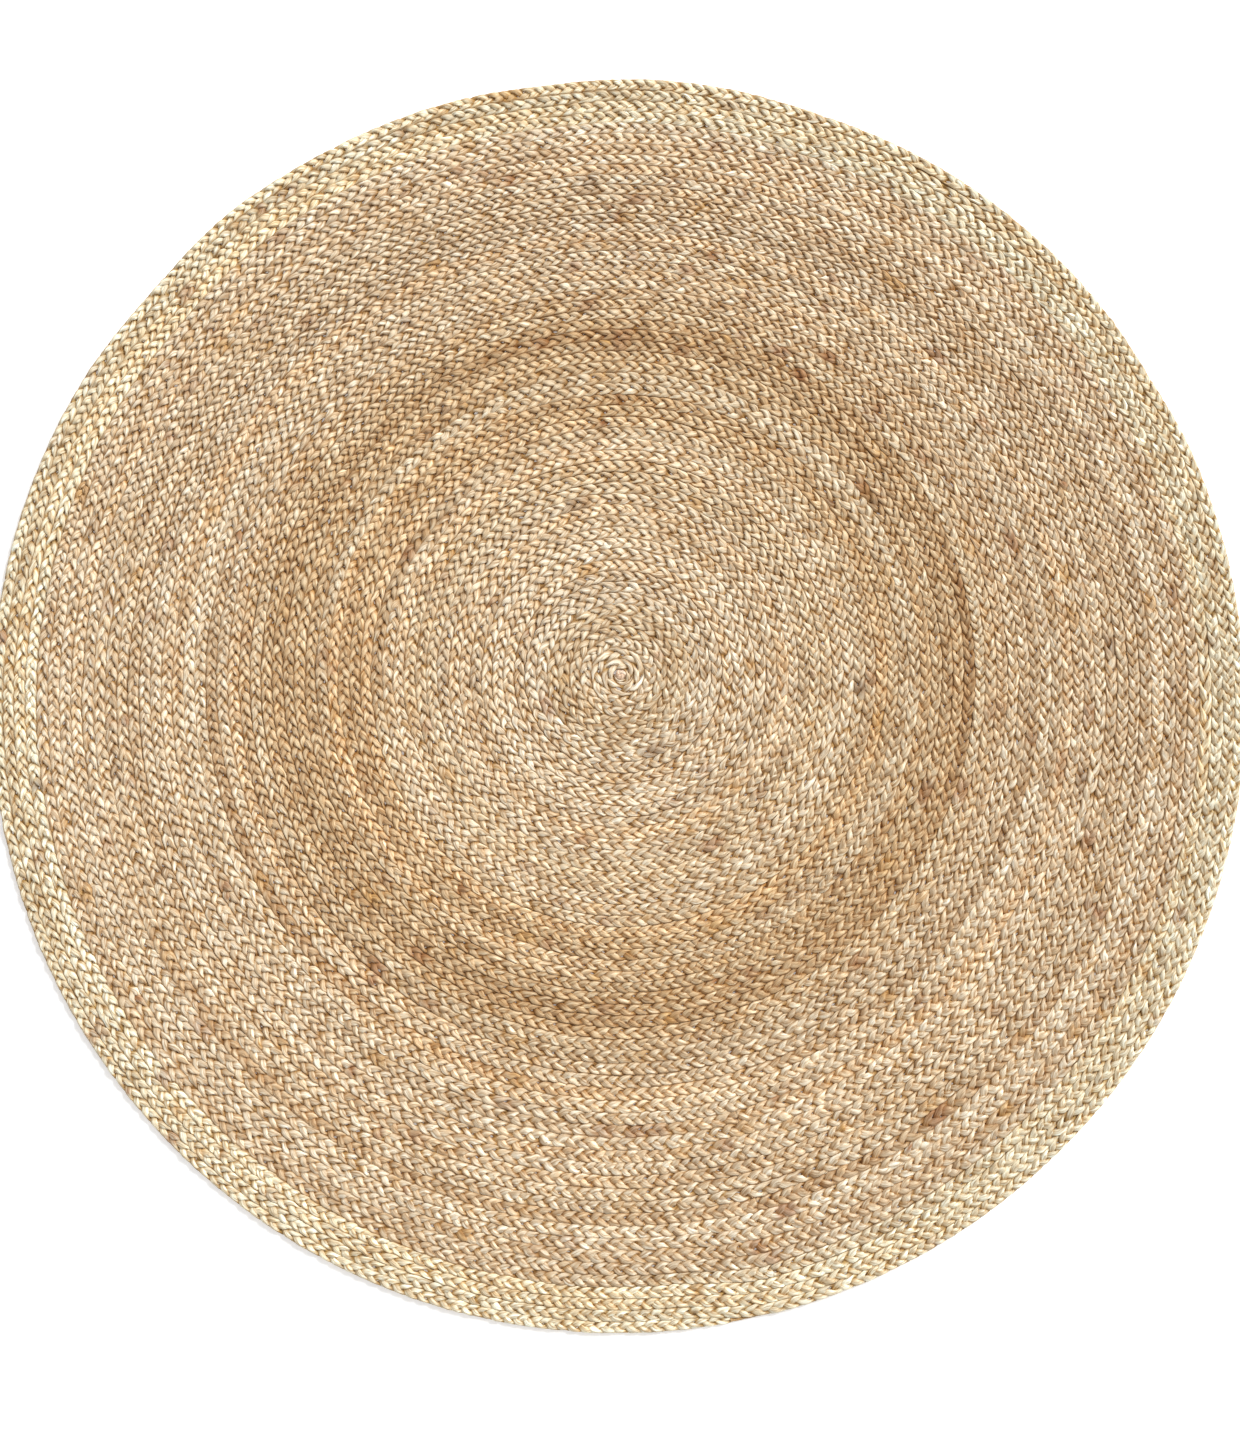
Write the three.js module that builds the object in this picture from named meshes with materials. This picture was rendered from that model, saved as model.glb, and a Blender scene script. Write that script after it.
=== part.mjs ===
// Round area rug of plaited jute.
//
// A flat braid of three jute strands is wound on itself in a flat coil, and each new turn is sewn
// edge to edge to the one inside it by a thread that lies in the valley under the seam.  The braid
// is plaited in many lengths that follow one another along the coil.  It starts in a small bound
// knot in the middle, and ends at the rim in a bound tail that tapers away, so the rim stays round.
//
// Millimetres, +Z up.  The origin is the middle of the rim, on the floor.

import * as THREE from 'three';

// ---- Driving dimensions ----------------------------------------------------------------------

const RUG_RADIUS = 750;
const TURNS = 57;
const BRAID_THICKNESS = 9;
const SEAM_GAP = 0.3; // play between neighbouring pieces
const SEAM_VALLEY = 1.3; // how far each lower edge of the braid draws in
const COIL_START = { x: 2.4, y: 37.6 }; // where the first turn lies, off the middle of the rim
const CONCENTRIC_SHARE = 0.5; // inside this share of the radius the turns circle COIL_START
const TAIL_ANGLE = 285; // degrees, where the tail of the braid ends on the rim
const TAIL_TAPER = 1 / 36; // length of the tail's taper, in turns
const EASED_TURNS = 12; // outer turns that give way to the tail
const SHORTEST_STEP = 1e-6; // turns

const KNOT_RADIUS = 6.4;
const KNOT_HEIGHT = 8;
const BRAID_FIRST_TURN = 0.7;

// The bound tail, in turns before the coil's end.  It stops where the taper is a point.
const TAIL_BINDING_START = 0.013;
const TAIL_BINDING_END = 0.005;

const THREAD_WIDTH = 2;
const THREAD_BASE = 0.4; // the thread lies just clear of the floor
const THREAD_TOP = 2.4;
const THREAD_FIRST_TURN = 2; // the knot holds the turns inside this one
const THREAD_COLOUR = 0xb89a6c;

// Where each length of braid ends, in turns from the middle, with the tone of its jute.
const BRAID_LENGTHS = [
  { end: 4, tone: 'cream' },
  { end: 7, tone: 'wheat' },
  { end: 13, tone: 'pale' },
  { end: 17, tone: 'cream' },
  { end: 20, tone: 'wheat' },
  { end: 22, tone: 'cream' },
  { end: 24, tone: 'wheat' },
  { end: 26, tone: 'honey' },
  { end: 28, tone: 'wheat' },
  { end: 33, tone: 'honey' },
  { end: 35, tone: 'wheat' },
  { end: 41, tone: 'cream' },
  { end: 44, tone: 'pale' },
  { end: 48, tone: 'cream' },
  { end: 53, tone: 'pale' },
  { end: TURNS - TAIL_BINDING_START, tone: 'bleached' },
];

const TONES = {
  bleached: 0xd6c1a0,
  pale: 0xd0ba9b,
  cream: 0xcab08e,
  wheat: 0xc2a582,
  honey: 0xbd9c77,
};

// ---- The coil --------------------------------------------------------------------------------

const PITCH = RUG_RADIUS / TURNS;

function smoothStep(value) {
  const t = Math.min(Math.max(value, 0), 1);
  return t * t * (3 - 2 * t);
}

// How far the outer turns move out, in turns, to close up behind the tail: one turn just past the
// tail's end, easing to nothing all the way round.
function tailEase(turn) {
  const share = smoothStep((turn - (TURNS - 1 - EASED_TURNS)) / EASED_TURNS);
  const part = turn - Math.floor(turn);
  const taper = smoothStep((part - 1 + TAIL_TAPER) / TAIL_TAPER);
  return share * (1 - part + part * taper);
}

// Radius of the braid's outer edge after so many turns.
function edgeRadius(turn) {
  return Math.min(PITCH * (turn + tailEase(turn)), RUG_RADIUS);
}

// The point at a radius and a turn.  The inner turns circle COIL_START, and the outer ones are
// drawn over until they run parallel to the rim.
function coilPoint(radius, turn, z) {
  const share = radius / RUG_RADIUS;
  const drawn = smoothStep((share - CONCENTRIC_SHARE) / (1 - CONCENTRIC_SHARE));
  const angle = THREE.MathUtils.degToRad(TAIL_ANGLE) + 2 * Math.PI * turn;
  return new THREE.Vector3(
    COIL_START.x * (1 - drawn) + radius * Math.cos(angle),
    COIL_START.y * (1 - drawn) + radius * Math.sin(angle),
    z,
  );
}

// Straight facets in one turn.  Each count is a multiple of the one inside it.
function facetsPerTurn(turn) {
  if (turn < 5) return 12;
  if (turn < TURNS - 4) return 24;
  return 48;
}

// The turns at which the coil has corners, from one whole turn to the next: the corners of its
// facets, and a few more where the outer turns give way to the tail.
function cornersOfTurn(whole) {
  const count = facetsPerTurn(whole);
  const corners = Array.from({ length: count + 1 }, (_, facet) => whole + facet / count);
  if (whole >= TURNS - EASED_TURNS) {
    for (const share of [0, 0.25, 0.5, 0.75]) corners.push(whole + 1 - TAIL_TAPER * (1 - share));
  }
  return corners.sort((a, b) => a - b);
}

// A point beside the braid's outer edge after so many turns.  The edge runs straight from corner
// to corner, so the turn outside it fits against the same facets.
function edgePoint(turn, offset, z) {
  const corners = cornersOfTurn(Math.floor(turn));
  const after = Math.max(corners.findIndex((corner) => corner >= turn), 1);
  const [from, to] = [corners[after - 1], corners[after]];
  const fromPoint = coilPoint(edgeRadius(from) + offset, from, z);
  const toPoint = coilPoint(edgeRadius(to) + offset, to, z);
  return fromPoint.lerp(toPoint, (turn - from) / (to - from));
}

// The turns at which a piece of the coil has a cross-section: its two ends and the corners between.
function stations(start, end) {
  const found = [start, end];
  for (let whole = Math.floor(start); whole < end; whole += 1) found.push(...cornersOfTurn(whole));
  const inside = found.filter((turn) => turn >= start && turn <= end).sort((a, b) => a - b);
  return inside.filter((turn, index) => index === 0 || turn - inside[index - 1] > SHORTEST_STEP);
}

// ---- Solids ----------------------------------------------------------------------------------

// A closed solid through cross-sections that all have the same number of corners.
function loft(sections) {
  const corners = sections[0].length;
  const positions = sections.flat().flatMap((point) => [point.x, point.y, point.z]);
  const faces = [];
  for (let row = 0; row < sections.length - 1; row += 1) {
    for (let corner = 0; corner < corners; corner += 1) {
      const next = (corner + 1) % corners;
      const a = row * corners + corner;
      const b = row * corners + next;
      faces.push(a, b, b + corners, a, b + corners, a + corners);
    }
  }
  const last = (sections.length - 1) * corners;
  for (let corner = 1; corner < corners - 1; corner += 1) {
    faces.push(0, corner + 1, corner);
    faces.push(last, last + corner, last + corner + 1);
  }
  const geometry = new THREE.BufferGeometry();
  geometry.setAttribute('position', new THREE.Float32BufferAttribute(positions, 3));
  geometry.setIndex(faces);
  geometry.computeVertexNormals();
  return geometry;
}

// The braid's cross-section: flat on top and below, with its lower edges drawn in.
function braidSection(turn) {
  const width = edgeRadius(turn) - edgeRadius(turn - 1);
  const valley = Math.min(SEAM_VALLEY, width / 4);
  return [
    innerPoint(turn, 0, BRAID_THICKNESS),
    edgePoint(turn, 0, BRAID_THICKNESS),
    edgePoint(turn, -valley, 0),
    innerPoint(turn, valley, 0),
  ];
}

// A point beside the braid's inner edge, which lies against the turn before or, at the very
// start, against the bound knot.
function innerPoint(turn, offset, z) {
  if (edgeRadius(turn - 1) < KNOT_RADIUS) return coilPoint(KNOT_RADIUS + SEAM_GAP + offset, turn, z);
  return edgePoint(turn - 1, SEAM_GAP + offset, z);
}

// The sewing thread's cross-section, in the valley on the inner side of a turn.
function threadSection(turn) {
  const seam = SEAM_GAP / 2;
  return [
    edgePoint(turn - 1, seam, THREAD_TOP),
    edgePoint(turn - 1, seam + THREAD_WIDTH / 2, THREAD_BASE),
    edgePoint(turn - 1, seam - THREAD_WIDTH / 2, THREAD_BASE),
  ];
}

function coiledPiece(name, section, start, end, colour) {
  const sections = stations(start, end).map(section);
  const material = new THREE.MeshStandardMaterial({ color: colour, roughness: 0.9, metalness: 0 });
  const mesh = new THREE.Mesh(loft(sections), material);
  mesh.name = name;
  return mesh;
}

// The bound start of the braid, in the middle of the coil.
function startBinding() {
  const geometry = new THREE.CylinderGeometry(KNOT_RADIUS, KNOT_RADIUS - 1, KNOT_HEIGHT, 12);
  const material = new THREE.MeshStandardMaterial({ color: TONES.wheat, roughness: 0.9 });
  const mesh = new THREE.Mesh(geometry, material);
  mesh.name = 'start_binding';
  mesh.rotation.x = Math.PI / 2;
  mesh.position.set(COIL_START.x, COIL_START.y, KNOT_HEIGHT / 2);
  return mesh;
}

// ---- Assembly --------------------------------------------------------------------------------

const rug = new THREE.Group();
rug.add(startBinding());

let start = BRAID_FIRST_TURN;
BRAID_LENGTHS.forEach(({ end, tone }, index) => {
  const number = String(index + 1).padStart(2, '0');
  const gap = SEAM_GAP / (2 * Math.PI * PITCH * end);
  const stop = end - gap;
  rug.add(coiledPiece(`braid_length_${number}`, braidSection, start, stop, TONES[tone]));
  const threadStart = Math.max(start, THREAD_FIRST_TURN);
  rug.add(coiledPiece(`sewing_thread_${number}`, threadSection, threadStart, stop, THREAD_COLOUR));
  start = end;
});

const tailEnd = TURNS - TAIL_BINDING_END;
rug.add(coiledPiece('tail_binding', braidSection, start, tailEnd, TONES.wheat));

export default rug;
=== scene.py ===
"""Round area rug of plaited jute, laid out as an add-on.

A flat braid of three jute strands is wound in a flat coil, from a small knot in the middle out to
a bound tail on the rim.  A thread laced along the underside sews each turn to the one inside it.
Lengths are in metres, with +Z up and the rug lying on the floor at z = 0.
"""

import math
from typing import NamedTuple

import bpy
import numpy as np
from bpy.props import FloatProperty, FloatVectorProperty, IntProperty, PointerProperty
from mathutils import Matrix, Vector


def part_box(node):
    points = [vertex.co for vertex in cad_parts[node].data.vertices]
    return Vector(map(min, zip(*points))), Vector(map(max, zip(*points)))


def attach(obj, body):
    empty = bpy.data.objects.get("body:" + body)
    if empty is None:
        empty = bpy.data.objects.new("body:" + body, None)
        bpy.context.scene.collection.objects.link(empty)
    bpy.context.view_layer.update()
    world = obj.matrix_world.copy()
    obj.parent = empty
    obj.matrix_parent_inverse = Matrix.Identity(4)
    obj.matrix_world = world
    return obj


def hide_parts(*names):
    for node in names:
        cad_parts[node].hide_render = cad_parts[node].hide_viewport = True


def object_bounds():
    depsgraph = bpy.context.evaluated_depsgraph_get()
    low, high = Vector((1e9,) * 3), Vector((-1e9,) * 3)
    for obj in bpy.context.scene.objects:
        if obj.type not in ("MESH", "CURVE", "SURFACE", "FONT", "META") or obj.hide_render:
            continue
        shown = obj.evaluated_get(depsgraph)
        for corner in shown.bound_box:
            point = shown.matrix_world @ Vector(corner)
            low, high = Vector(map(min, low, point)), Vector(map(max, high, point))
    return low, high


bl_info = {
    "name": "Round Braided Rug",
    "version": (1, 0, 0),
    "blender": (4, 5, 0),
    "location": "3D View > Sidebar > Rug",
    "description": "Plaits, coils and sews a round jute rug around its packed frame",
    "category": "Object",
}

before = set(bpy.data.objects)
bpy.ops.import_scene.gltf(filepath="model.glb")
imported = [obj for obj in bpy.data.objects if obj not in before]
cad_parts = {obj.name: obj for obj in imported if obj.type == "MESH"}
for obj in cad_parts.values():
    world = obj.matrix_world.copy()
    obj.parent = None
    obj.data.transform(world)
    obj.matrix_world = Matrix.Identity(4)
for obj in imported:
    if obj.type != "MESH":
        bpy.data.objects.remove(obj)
FRAME_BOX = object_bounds()

RIM_RADIUS = (FRAME_BOX[1].x - FRAME_BOX[0].x) / 2
RUG_THICKNESS = FRAME_BOX[1].z
KNOT_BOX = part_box("start_binding")
COIL_START = ((KNOT_BOX[0].x + KNOT_BOX[1].x) / 2, (KNOT_BOX[0].y + KNOT_BOX[1].y) / 2)

# Where the bound tail starts and ends, in turns before the coil's end.
TAIL_BINDING_START = 0.013
TAIL_BINDING_END = 0.005

# Where each length of braid ends, in turns from the middle, and the tone of its jute.
BRAID_LENGTHS = (
    (4, "cream"),
    (7, "wheat"),
    (13, "pale"),
    (17, "cream"),
    (20, "wheat"),
    (22, "cream"),
    (24, "wheat"),
    (26, "honey"),
    (28, "wheat"),
    (33, "honey"),
    (35, "wheat"),
    (41, "cream"),
    (44, "pale"),
    (48, "cream"),
    (53, "pale"),
    (57 - TAIL_BINDING_START, "bleached"),
)
STRANDS = "abc"
BAKE_MAP = "OFBake"

# The coil, as the frame has it.
CONCENTRIC_SHARE = 0.5  # inside this share of the radius the turns circle the knot
TAIL_ANGLE = 285.0  # degrees, where the tail of the braid ends on the rim
TAIL_TAPER = 1 / 36  # length of the tail's taper, in turns
EASED_TURNS = 12  # outer turns that give way to the tail
FIRST_TURN = 0.7
KNOT_RADIUS = (KNOT_BOX[1].x - KNOT_BOX[0].x) / 2
LACED_FROM_TURN = 2.0

# Lobes of the braid lie on its outer edge a quarter of the way through the plait's swing, and on
# the inner edge of the next row three quarters of the way through.
NESTING_SIDES = ((0, math.pi / 2), (1, 3 * math.pi / 2))

# A strand is pressed flat from this share of its furthest reach across the braid.
PRESSED_FROM = 0.9

# What lighter jute and more golden jute are to red, green and blue: the darker, the redder.
TONE_SHIFT = np.array([0.72, 1.0, 1.32])
GOLD_SHIFT = np.array([0.026, 0.006, -0.022])

# Painted shade in the grooves of the plait: the jute's colour is darkened and browned where a
# strand lies low, where shade falls.  The painted shade is full at the first of these depths, and
# gone at the second.
PAINTED_SHADE_TINT = np.array([0.57, 0.385, 0.17])
PAINTED_SHADE_DEPTHS = (0.36 / 1.55, 1.36 / 1.55)

# Beside a seam, shade is painted into the jute from the first of these shares of the braid's
# half-width on, and it is darkest at the second.
SEAM_EDGE = (0.72, 0.96)
SEAM_SHADE = 0.55  # how much painted shade there is there, where it is strongest


class Changes(NamedTuple):
    """Smooth random changes along the braid: the seed that they are drawn with, how many metres
    lie between one and the next, and how strong they are."""

    seed: int
    spacing: float
    strength: float = 1.0


# Changes in the way that the braid is wound and plaited.
SEAM_CHANGES = (Changes(11, 0.045, 0.5), Changes(12, 0.0075, 0.6))
SLACK_CHANGES = Changes(13, 0.24, 0.3)
SWING_CHANGES = Changes(210, 0.02, 0.16)
PLUMPNESS_CHANGES = Changes(220, 0.012)
PLACE_CHANGES = Changes(230, 0.016)
RIDGE_CHANGES = Changes(240, 0.009)
OVERLAP_CHANGES = Changes(245, 0.6, 2.0)

# Least and greatest plumpness of a strand, thinness where the tail tapers, and overlap.
PLUMPNESS_LIMITS = (0.86, 1.25)
THINNESS_LIMITS = (0.02, 1.2)
OVERLAP_LIMITS = (-1, 3)
TAIL_FLATTENING = 0.4  # how little of its height the braid loses as it tapers, as a power
SIDE_DRIFT = 0.35  # how far an uneven strand strays, as a share of half the braid's width
HEIGHT_DRIFT = 1.2  # and of its lift
FLOOR_PLAY = 0.0001  # metres that the lowest fibre keeps off the floor
GRAIN_RADIUS = 0.003  # metres, of the grain round a strand
GRAIN_TWIST = 0.25  # how much of a strand's roll the grain follows

# How many turns the tones of two lengths of braid take to run into each other.
JOIN_TURNS = 0.08

# Changes of tone: of a whole row, of one strand, of a lobe and of a sliver.
ROW_TONES = (Changes(90, 2.2, 1.9), Changes(93, 0.6, 1.0), Changes(91, 0.14, 0.5))
BROWN_ROWS = Changes(95, 0.5)
STRETCH_TONES = Changes(100, 0.09, 0.03)
LOBE_TONES = Changes(110, 0.012, 0.06)
SLIVER_TONES = Changes(120, 0.02, 0.17)
ROW_TONE_STRENGTH = 0.047
BROWN_ROW_FROM = 1.1  # a row turns brown where its change is greater than this
BROWN_ROW_STRENGTH = 4
DARKEST_TONE, LIGHTEST_TONE = -0.6, 0.2

# Changes from pinkish to golden jute, and how strong the painted shade beside the seams is.
GOLDEN_ROWS = Changes(92, 0.8, 1.4)
GOLDEN_LOBES = Changes(130, 0.02)
LEAST_GOLDEN = -1
SEAM_SHADE_CHANGES = Changes(94, 1.2)
SEAM_SHADE_SHARE = 0.45

# The sewing thread, and the tone of any twisted thread.
THREAD_CHANGES = Changes(300, 0.01, 0.06)
THREAD_PLAY = 0.0002  # turns left free between one length of thread and the next
THREAD_TWIST = 0.008  # metres in which the thread turns once round itself
THREAD_TWIST_RADIUS = 0.001
THREAD_GIRTH = 0.005  # as the bake map takes it
STITCH_START = 0.4  # radians
THREAD_TONE_SEED = 320
THREAD_TONE_SPACING = 5  # in rings of the thread
THREAD_TONE_STRENGTH = 0.06

# The knot that the coil starts from, its loops of cord, and the whipping under them.
KNOT_SECTIONS = 221
KNOT_LOOP = 0.0031
KNOT_LOOP_SWING = 0.0014
KNOT_DROP = 0.0029  # of the cord's middle under the top of the knot
KNOT_WEAVE = 0.0011
KNOT_CORD_RADIUS = 0.0022
KNOT_CORD_SIDES = 12
KNOT_CORD_TWIST = 0.014
KNOT_TONE_SEED = 401
WHIPPING_FOOT = 0.0004
WHIPPING_DROP = 0.0019
WHIPPING_LEVELS = 28
WHIPPING_SIDES = 20
WHIPPING_TURNS = 7
WHIPPING_TONE_SEED = 402

# The whipped tail.
TAIL_STEP = 0.0003
TAIL_PLAY = 1e-6  # turns
TAIL_SIDES = 18
TAIL_GROOVE = 0.0003  # between one winding and the next
TAIL_HALF_HEIGHT = 0.0036
TAIL_FLOOR_PLAY = 0.0002
TAIL_RUN_RADIUS = 0.004
TAIL_TONE_SEED = 403

# Loose fibres on the face of the rug.
FIBRE_SEED = 500
FIBRE_TONE_SEED = 520
FIBRE_STRAYING = 0.8  # radians off the way the braid runs
FIBRE_BEND = 1.1  # radians from the middle to each end
FIBRE_LENGTHS = (0.008, 0.03)
FIBRE_LIFTS = (0.0002, 0.0016)
FIBRE_CLEARANCE = 0.0012
FIBRE_DIVE = 0.005  # how far its two ends dip into the braid

# How dark and how light single fibres and whole slivers are, as shares of the jute's tone.
FIBRE_LIGHT = (0.66, 1.32)
SLIVER_LIGHT = (0.56, 1.4)
GOLDEN_FILTER = (1.0, 0.86, 0.62, 1.0)

# Darkest and lightest share of light that any dyed point gives back.
TONE_LIMITS = (0.01, 0.95)

# Stained fibre: how many of each kind there are, its half-length in metres, how many sides of a
# strand it covers, and how much of the stain shows.
SLIVER_STAINS = (90, (0.003, 0.008), (1.0, 3.2), (0.4, 1.0))
SLIVER_STAIN_SEED = 160
BRAID_STAINS = (420, (0.004, 0.016), (3.0, 9.0), (0.2, 0.75))
BRAID_STAIN_SEED = 170
STAIN_SHARES = (0.44, 0.5, 0.06)  # of rust, ochre and bark

# How much of its waver a seam loses beside the rim.
RIM_CALM = 0.6

# Dents and bulges of the rim: bearing and half-width in degrees, and depth inwards in metres.
RIM_DENTS = ((32, 5, 0.003), (71, 7, 0.003), (97, 5, 0.003), (128, 4, -0.002), (139, 6, 0.0035))

# How finely the pieces are made.
SECTIONS_PER_REPEAT = 16
STRAND_SIDES = 12
STITCH_SECTIONS = 4
THREAD_SIDES = 5
STRAND_GIRTH = 0.017  # as the bake map takes it
FIBRE_SECTIONS = 9
FIBRE_SIDES = 4
WALK_STEP = 0.002  # metres along the coil, for measuring its length


def linear(red, green, blue):
    """A screen colour, from 0 to 255, as linear light."""
    share = [value / 255 for value in (red, green, blue)]
    return tuple(v / 12.92 if v <= 0.04045 else ((v + 0.055) / 1.055) ** 2.4 for v in share)


# ---- What a user would change -----------------------------------------------------------------


class RugCoilSizes(bpy.types.PropertyGroup):
    """How the braid is wound"""

    turns: IntProperty(
        name="Turns", description="Turns of braid from the knot to the rim", default=57, min=5
    )
    seam_gap: FloatProperty(
        name="Seam gap",
        description="Play between neighbouring turns",
        default=0.00006,
        unit="LENGTH",
        precision=5,
    )
    nesting: FloatProperty(
        name="Nesting",
        description="How far the lobes of one turn reach in between those of the next",
        default=0.0007,
        unit="LENGTH",
        precision=5,
    )
    seam_waver: FloatProperty(
        name="Seam waver",
        description="How far a seam strays from its even line",
        default=0.0007,
        unit="LENGTH",
        precision=5,
    )


class RugPlaitSizes(bpy.types.PropertyGroup):
    """How the three strands are plaited"""

    repeat: FloatProperty(
        name="Repeat",
        description="Length of braid in which a strand swings to both edges and back",
        default=0.0432,
        unit="LENGTH",
        precision=4,
    )
    sway: FloatProperty(
        name="Sway",
        description="How far a strand's middle swings, as a share of half the braid's width",
        default=0.74,
        subtype="FACTOR",
        min=0,
        max=1,
    )
    haste: FloatProperty(
        name="Haste",
        description="How much faster a strand crosses the middle than it rounds the edge",
        default=0.2,
        subtype="FACTOR",
        min=0,
        max=0.5,
    )
    lift: FloatProperty(
        name="Lift",
        description="How far a strand rises over and dips under the others",
        default=0.0019,
        unit="LENGTH",
        precision=4,
    )
    strand_width: FloatProperty(
        name="Strand width",
        description="Half a strand's width",
        default=0.0044,
        unit="LENGTH",
        precision=4,
    )
    strand_depth: FloatProperty(
        name="Strand depth",
        description="Half a strand's thickness",
        default=0.0026,
        unit="LENGTH",
        precision=4,
    )
    roll: FloatProperty(
        name="Roll",
        description="How far a strand rolls over as it rounds the edge",
        default=math.radians(92),
        subtype="ANGLE",
    )
    swell: FloatProperty(
        name="Swell",
        description="How much plumper a strand is where it lies on top",
        default=0.08,
        subtype="FACTOR",
        min=0,
        max=1,
    )
    ridges: FloatProperty(
        name="Ridges",
        description="How far single slivers of fibre stand out of a strand",
        default=0.15,
        subtype="FACTOR",
        min=0,
        max=0.3,
    )
    overlap: FloatProperty(
        name="Overlap",
        description="How far a lobe is pressed in between those of the next turn, on average",
        default=0.0002,
        unit="LENGTH",
        precision=4,
    )
    unevenness: FloatProperty(
        name="Unevenness",
        description="How much the strands vary in size and place",
        default=0.15,
        subtype="FACTOR",
        min=0,
        max=1,
    )


def jute_tone(name, description, screen_colour):
    return FloatVectorProperty(
        name=name,
        description=description,
        default=linear(*screen_colour),
        subtype="COLOR",
        size=3,
        min=0,
        max=1,
    )


class RugJuteColours(bpy.types.PropertyGroup):
    """Colours of the jute and the thread"""

    bleached: jute_tone("Bleached", "Palest jute, at the rim", (232, 220, 192))
    pale: jute_tone("Pale", "Pale jute", (225, 206, 178))
    cream: jute_tone("Cream", "Ordinary jute", (220, 199, 169))
    wheat: jute_tone("Wheat", "Darker jute", (215, 192, 159))
    honey: jute_tone("Honey", "Golden brown jute", (208, 181, 144))
    rust: jute_tone("Rust", "Slivers of stained jute", (150, 98, 58))
    ochre: jute_tone("Ochre", "Slivers of golden jute", (192, 148, 88))
    bark: jute_tone("Bark", "Flecks of bark left on the fibre", (112, 74, 44))
    thread: jute_tone("Thread", "Sewing thread", (196, 160, 112))
    knot: jute_tone("Knot", "Knot in the middle of the coil", (232, 204, 178))


class RugStageSettings(bpy.types.PropertyGroup):
    """Floor, light and camera"""

    floor_size: FloatProperty(
        name="Floor size", description="Width of the floor", default=80.0, unit="LENGTH"
    )
    floor_glow: FloatProperty(
        name="Floor glow",
        description="Light that comes up through the floor, as in a light table",
        default=0.3,
        min=0,
        max=1,
    )
    floor_colour: FloatVectorProperty(
        name="Floor",
        description="Colour of the floor",
        default=(0.94, 0.94, 0.94),
        subtype="COLOR",
        size=3,
        min=0,
        max=1,
    )
    lamp_strength: FloatProperty(
        name="Lamp", description="Strength of the soft lamp", default=3.28, min=0
    )
    lamp_softness: FloatProperty(
        name="Lamp softness",
        description="How wide the lamp looks from the rug",
        default=math.radians(24),
        subtype="ANGLE",
    )
    lamp_bearing: FloatProperty(
        name="Lamp bearing",
        description="Where the lamp stands, counter-clockwise from +X",
        default=math.radians(45),
        subtype="ANGLE",
    )
    lamp_height: FloatProperty(
        name="Lamp height",
        description="How high the lamp stands over the floor",
        default=math.radians(38),
        subtype="ANGLE",
    )
    fill_strength: FloatProperty(
        name="Fill", description="Strength of the light from all round", default=0.59, min=0
    )
    camera_height: FloatProperty(
        name="Camera height",
        description="Height of the camera over the rug",
        default=3.0,
        unit="LENGTH",
    )
    view_height: FloatProperty(
        name="View height",
        description="How much of the floor the camera sees, from top to bottom",
        default=1.7263,
        unit="LENGTH",
    )
    view_middle: FloatVectorProperty(
        name="View middle",
        description="Point of the floor in the middle of the view",
        default=(0.0016, -0.0169),
        size=2,
        unit="LENGTH",
    )


# ---- The coil ---------------------------------------------------------------------------------


def smooth_step(value):
    t = np.clip(value, 0, 1)
    return t * t * (3 - 2 * t)


class Waver:
    """Smooth random values along a line: new ones every spacing, eased between."""

    def __init__(self, changes, reach, number=0, columns=1):
        self.changes = changes
        count = int(reach / changes.spacing) + 3
        self.values = np.random.default_rng(changes.seed + number).normal(size=(count, columns))

    def __call__(self, places):
        steps = np.maximum(places, 0) / self.changes.spacing
        before = steps.astype(int)
        share = smooth_step(steps - before)[..., None]
        value = self.values[before] * (1 - share) + self.values[before + 1] * share
        return self.changes.strength * value


def changing(changes, gone, number=0, columns=1):
    """Changes along a whole piece, at each distance gone.  Each number has changes of its own."""
    return Waver(changes, gone[-1], number, columns)(gone)


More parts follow.
